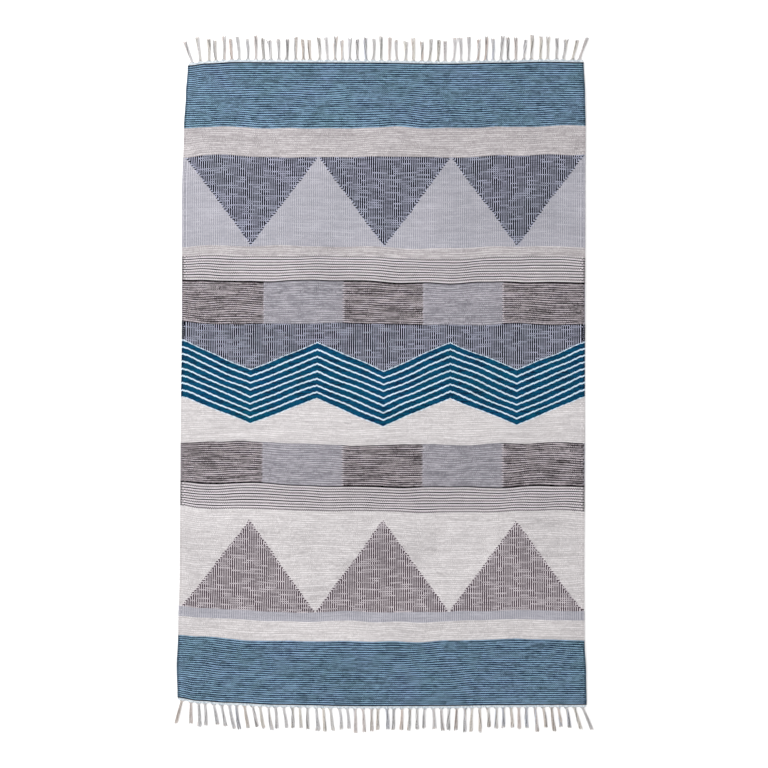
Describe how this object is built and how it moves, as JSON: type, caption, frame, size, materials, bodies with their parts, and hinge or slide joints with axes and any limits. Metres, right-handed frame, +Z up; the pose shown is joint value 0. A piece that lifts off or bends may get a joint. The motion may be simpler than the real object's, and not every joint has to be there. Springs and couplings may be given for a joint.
{
  "type": "kilim",
  "caption": "Flat-woven rectangular kilim rug lying flat, slightly out of square, with a row of loose warp tassels along each short end.",
  "frame": {"origin": "bottom centre of the whole kilim's box, fringes included, on the floor", "axes": "+Y along the kilim's length towards its far fringe, +X across it to the right, +Z up from the floor"},
  "size_m": [1.5642, 2.5942, 0.006],
  "materials": {
    "woven_yarn": "matte flat weave of slubby cream, blue, slate and brown-grey yarns",
    "warp_cotton": "matte undyed cotton warp ends, greyed cream"
  },
  "bodies": {
    "root": {"cloth": "woven_yarn", "far_fringe": "warp_cotton", "near_fringe": "warp_cotton"}
  },
  "joints": []
}
